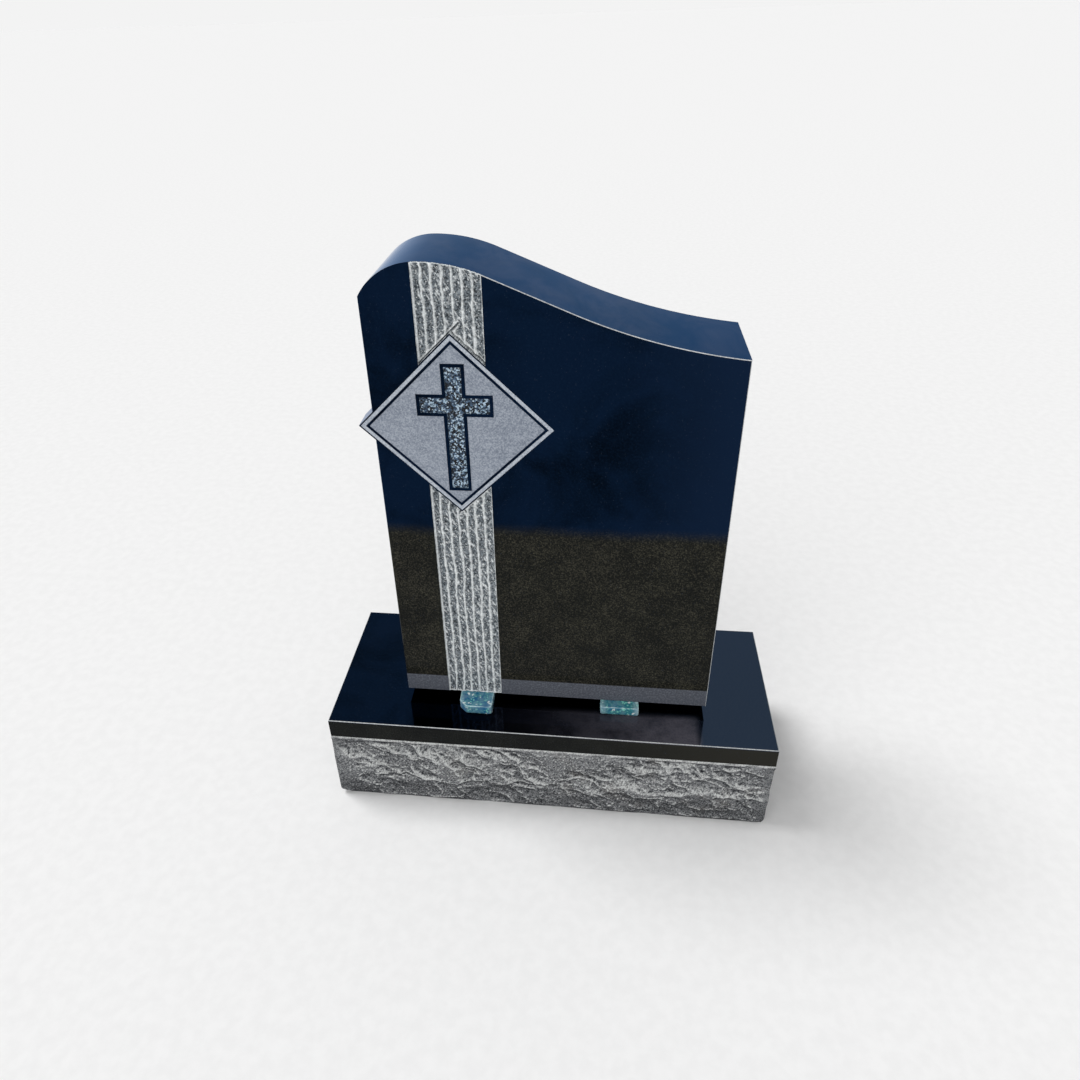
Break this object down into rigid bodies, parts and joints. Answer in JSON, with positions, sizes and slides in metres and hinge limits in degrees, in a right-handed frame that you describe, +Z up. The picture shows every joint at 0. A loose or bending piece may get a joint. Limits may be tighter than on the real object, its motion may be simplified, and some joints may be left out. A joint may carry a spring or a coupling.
{
  "type": "headstone",
  "caption": "Upright black granite headstone: wave-topped tablet with a fluted band and a diamond bearing a cross, on setting blocks over a base with rock-pitched sides.",
  "frame": {"origin": "centre of the base's underside", "axes": "+Z up, the tallest extent; the carved face looks along -Y, and Y is the shallowest extent; +X is the viewer's right"},
  "size_m": [0.806, 0.306, 1.023],
  "materials": {
    "base_granite": "mirror-polished top and margin, rock-pitched grey sides",
    "tablet_granite": "mirror-polished, with a chiselled band and a frosted diamond",
    "block_glass": "blue-green, cloudy, with broken edges"
  },
  "bodies": {
    "root": {"base": "base_granite", "tablet": "tablet_granite", "setting_block_left": "block_glass", "setting_block_right": "block_glass"}
  },
  "joints": []
}
